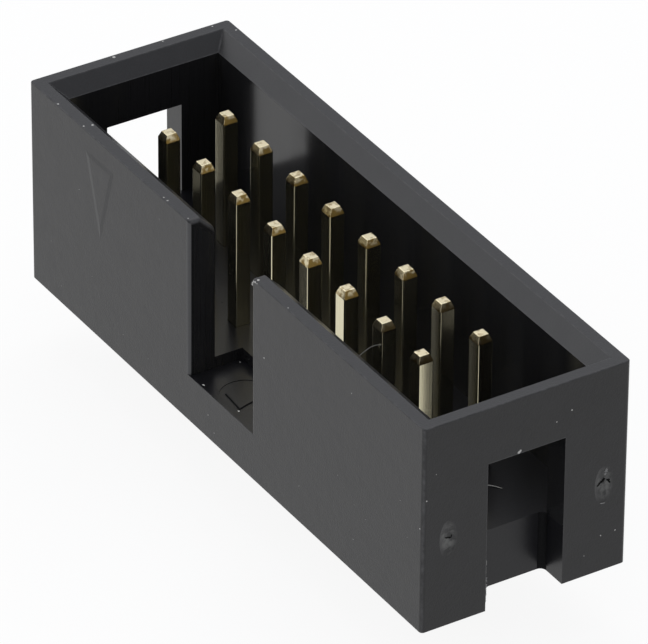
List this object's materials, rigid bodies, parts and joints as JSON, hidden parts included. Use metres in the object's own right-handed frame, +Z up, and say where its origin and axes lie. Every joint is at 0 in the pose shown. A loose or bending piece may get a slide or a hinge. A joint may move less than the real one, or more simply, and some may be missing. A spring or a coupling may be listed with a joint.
{
  "type": "idc box header",
  "caption": "Shrouded board header for flat-cable sockets: keyed rectangular moulded housing, open at the top, round rows of square gold-plated pins with solder tails below.",
  "frame": {"origin": "on the board seat, in the middle of the pin grid", "axes": "+X along the rows of pins, away from pin 1; -Y towards the wall with the key slot; +Z up, the way the socket leaves"},
  "size_m": [0.028, 0.0088, 0.0115],
  "materials": {
    "housing": "moulded black thermoplastic, fine matt outside and glossy inside the cavity",
    "contact": "drawn square wire, gold plated, satin to bright"
  },
  "bodies": {
    "root": {"housing": "housing", "pin_01": "contact", "pin_02": "contact", "pin_03": "contact", "pin_04": "contact", "pin_05": "contact", "pin_06": "contact", "pin_07": "contact", "pin_08": "contact", "pin_09": "contact", "pin_10": "contact", "pin_11": "contact", "pin_12": "contact", "pin_13": "contact", "pin_14": "contact", "pin_15": "contact", "pin_16": "contact"}
  },
  "joints": []
}
